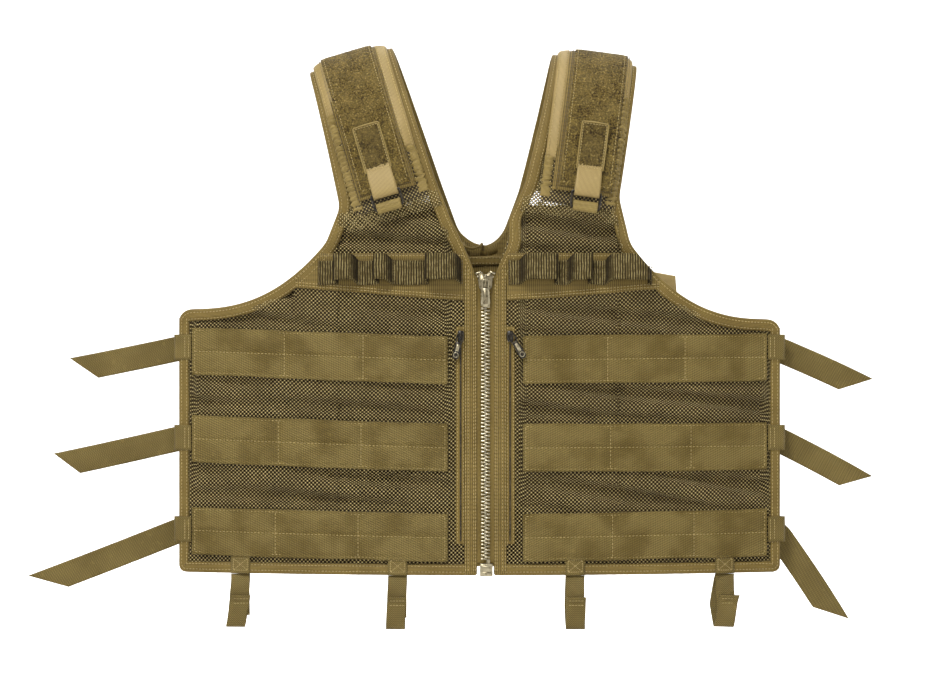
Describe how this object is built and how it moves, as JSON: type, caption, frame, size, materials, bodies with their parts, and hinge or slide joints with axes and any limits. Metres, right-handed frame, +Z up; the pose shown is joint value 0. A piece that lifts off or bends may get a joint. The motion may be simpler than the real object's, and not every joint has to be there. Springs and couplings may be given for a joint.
{
  "type": "fishing vest",
  "caption": "Zip-front mesh load vest with webbing rows, elastic chest loops, hook-and-loop shoulder straps, side adjuster straps and belt keepers.",
  "frame": {"origin": "the hanger point: midway between the two shoulder pads, under the tops of the shoulders, in the plane of the zip and half way from front to back", "axes": "+X to the right of someone who faces the front, +Y from the front to the back, +Z up"},
  "size_m": [0.844, 0.1402, 0.5827],
  "materials": {
    "mesh": "open net",
    "lining": "plain weave",
    "webbing": "woven webbing",
    "facing": "fine weave",
    "pile": "fuzzy pile",
    "elastic": "ribbed elastic",
    "nickel": "bright nickel",
    "dark": "dark enamel",
    "plastic": "satin moulded"
  },
  "bodies": {
    "vest": {"back_panel": "mesh", "back_top_strap": "webbing", "back_middle_strap": "webbing", "back_bottom_strap": "webbing", "left_front_panel": "mesh", "left_pocket_bag": "lining", "left_placket": "facing", "left_top_webbing": "webbing", "left_middle_webbing": "webbing", "left_bottom_webbing": "webbing", "left_chest_band": "facing", "left_elastic_loops": "elastic", "left_pocket_zip": "facing", "left_shoulder_pad": "facing", "left_pile_strap": "pile", "left_ring_tab": "webbing", "left_top_tab": "webbing", "left_middle_tab": "webbing", "left_bottom_tab": "webbing", "right_front_panel": "mesh", "right_pocket_bag": "lining", "right_placket": "facing", "right_top_webbing": "webbing", "right_middle_webbing": "webbing", "right_bottom_webbing": "webbing", "right_chest_band": "facing", "right_elastic_loops": "elastic", "right_pocket_zip": "facing", "right_shoulder_pad": "facing", "right_pile_strap": "pile", "right_ring_tab": "webbing", "right_top_tab": "webbing", "right_middle_tab": "webbing", "right_bottom_tab": "webbing", "left_zip_teeth": "nickel", "right_zip_teeth": "nickel"},
    "main_slider": {"main_slider": "nickel"},
    "main_pull": {"main_pull": "nickel"},
    "left_pocket_slider": {"left_pocket_slider": "dark"},
    "left_pocket_pull": {"left_pocket_pull": "dark"},
    "left_ring": {"left_ring": "dark"},
    "right_pocket_slider": {"right_pocket_slider": "dark"},
    "right_pocket_pull": {"right_pocket_pull": "dark"},
    "right_ring": {"right_ring": "dark"},
    "left_top_lock": {"left_top_lock": "plastic"},
    "left_top_tail": {"left_top_tail": "webbing"},
    "left_middle_lock": {"left_middle_lock": "plastic"},
    "left_middle_tail": {"left_middle_tail": "webbing"},
    "left_bottom_lock": {"left_bottom_lock": "plastic"},
    "left_bottom_tail": {"left_bottom_tail": "webbing"},
    "right_top_lock": {"right_top_lock": "plastic"},
    "right_top_tail": {"right_top_tail": "webbing"},
    "right_middle_lock": {"right_middle_lock": "plastic"},
    "right_middle_tail": {"right_middle_tail": "webbing"},
    "right_bottom_lock": {"right_bottom_lock": "plastic"},
    "right_bottom_tail": {"right_bottom_tail": "webbing"},
    "left_outer_keeper": {"left_outer_keeper": "webbing"},
    "left_inner_keeper": {"left_inner_keeper": "webbing"},
    "right_inner_keeper": {"right_inner_keeper": "webbing"},
    "right_outer_keeper": {"right_outer_keeper": "webbing"}
  },
  "joints": [
    {"name": "main_zip_slide", "type": "slide", "parent": "vest", "child": "main_slider", "axis": [0, 0, -1], "range_m": [0, 0.262]},
    {"name": "main_pull_swing", "type": "hinge", "parent": "main_slider", "child": "main_pull", "pos_m": [0, -0.0649, -0.22], "axis": [-1, 0, 0], "range_deg": [0, 170]},
    {"name": "left_pocket_zip_slide", "type": "slide", "parent": "vest", "child": "left_pocket_slider", "axis": [0, 0, -1], "range_m": [0, 0.19]},
    {"name": "left_pocket_pull_swing", "type": "hinge", "parent": "left_pocket_slider", "child": "left_pocket_pull", "pos_m": [-0.0242, -0.06429, -0.2726], "axis": [-0.9744, 0, 0.225], "range_deg": [0, 160]},
    {"name": "left_ring_swing", "type": "hinge", "parent": "vest", "child": "left_ring", "pos_m": [-0.09773, -0.06842, -0.13482], "axis": [-0.9551, 0.0877, -0.2829], "range_deg": [0, 110]},
    {"name": "right_pocket_zip_slide", "type": "slide", "parent": "vest", "child": "right_pocket_slider", "axis": [0, 0, -1], "range_m": [0, 0.19]},
    {"name": "right_pocket_pull_swing", "type": "hinge", "parent": "right_pocket_slider", "child": "right_pocket_pull", "pos_m": [0.0242, -0.06427, -0.2726], "axis": [-0.8572, 0, -0.515], "range_deg": [0, 160]},
    {"name": "right_ring_swing", "type": "hinge", "parent": "vest", "child": "right_ring", "pos_m": [0.09888, -0.06798, -0.13482], "axis": [-0.9864, -0.0989, 0.1316], "range_deg": [0, 110]},
    {"name": "left_top_lock_turn", "type": "hinge", "parent": "vest", "child": "left_top_lock", "pos_m": [-0.288, -0.0015, -0.285], "axis": [0, 0, 1], "range_deg": [-20, 20]},
    {"name": "left_top_tail_pull", "type": "slide", "parent": "left_top_lock", "child": "left_top_tail", "axis": [-1, 0, 0], "range_m": [-0.005, 0.03]},
    {"name": "left_middle_lock_turn", "type": "hinge", "parent": "vest", "child": "left_middle_lock", "pos_m": [-0.288, -0.0015, -0.375], "axis": [0, 0, 1], "range_deg": [-20, 20]},
    {"name": "left_middle_tail_pull", "type": "slide", "parent": "left_middle_lock", "child": "left_middle_tail", "axis": [-1, 0, 0], "range_m": [-0.005, 0.03]},
    {"name": "left_bottom_lock_turn", "type": "hinge", "parent": "vest", "child": "left_bottom_lock", "pos_m": [-0.288, -0.0015, -0.466], "axis": [0, 0, 1], "range_deg": [-20, 20]},
    {"name": "left_bottom_tail_pull", "type": "slide", "parent": "left_bottom_lock", "child": "left_bottom_tail", "axis": [-1, 0, 0], "range_m": [-0.005, 0.03]},
    {"name": "right_top_lock_turn", "type": "hinge", "parent": "vest", "child": "right_top_lock", "pos_m": [0.277, -0.0015, -0.285], "axis": [0, 0, 1], "range_deg": [-20, 20]},
    {"name": "right_top_tail_pull", "type": "slide", "parent": "right_top_lock", "child": "right_top_tail", "axis": [1, 0, 0], "range_m": [-0.005, 0.03]},
    {"name": "right_middle_lock_turn", "type": "hinge", "parent": "vest", "child": "right_middle_lock", "pos_m": [0.277, -0.0015, -0.375], "axis": [0, 0, 1], "range_deg": [-20, 20]},
    {"name": "right_middle_tail_pull", "type": "slide", "parent": "right_middle_lock", "child": "right_middle_tail", "axis": [1, 0, 0], "range_m": [-0.005, 0.03]},
    {"name": "right_bottom_lock_turn", "type": "hinge", "parent": "vest", "child": "right_bottom_lock", "pos_m": [0.277, -0.0015, -0.466], "axis": [0, 0, 1], "range_deg": [-20, 20]},
    {"name": "right_bottom_tail_pull", "type": "slide", "parent": "right_bottom_lock", "child": "right_bottom_tail", "axis": [1, 0, 0], "range_m": [-0.005, 0.03]},
    {"name": "left_outer_keeper_swing", "type": "hinge", "parent": "vest", "child": "left_outer_keeper", "pos_m": [-0.242, -0.0306, -0.5096], "axis": [1, 0, 0], "range_deg": [-40, 40]},
    {"name": "left_inner_keeper_swing", "type": "hinge", "parent": "vest", "child": "left_inner_keeper", "pos_m": [-0.086, -0.05494, -0.5096], "axis": [1, 0, 0], "range_deg": [-40, 40]},
    {"name": "right_inner_keeper_swing", "type": "hinge", "parent": "vest", "child": "right_inner_keeper", "pos_m": [0.088, -0.05448, -0.5096], "axis": [1, 0, 0], "range_deg": [-40, 40]},
    {"name": "right_outer_keeper_swing", "type": "hinge", "parent": "vest", "child": "right_outer_keeper", "pos_m": [0.237, -0.02969, -0.5096], "axis": [1, 0, 0], "range_deg": [-40, 40]}
  ]
}
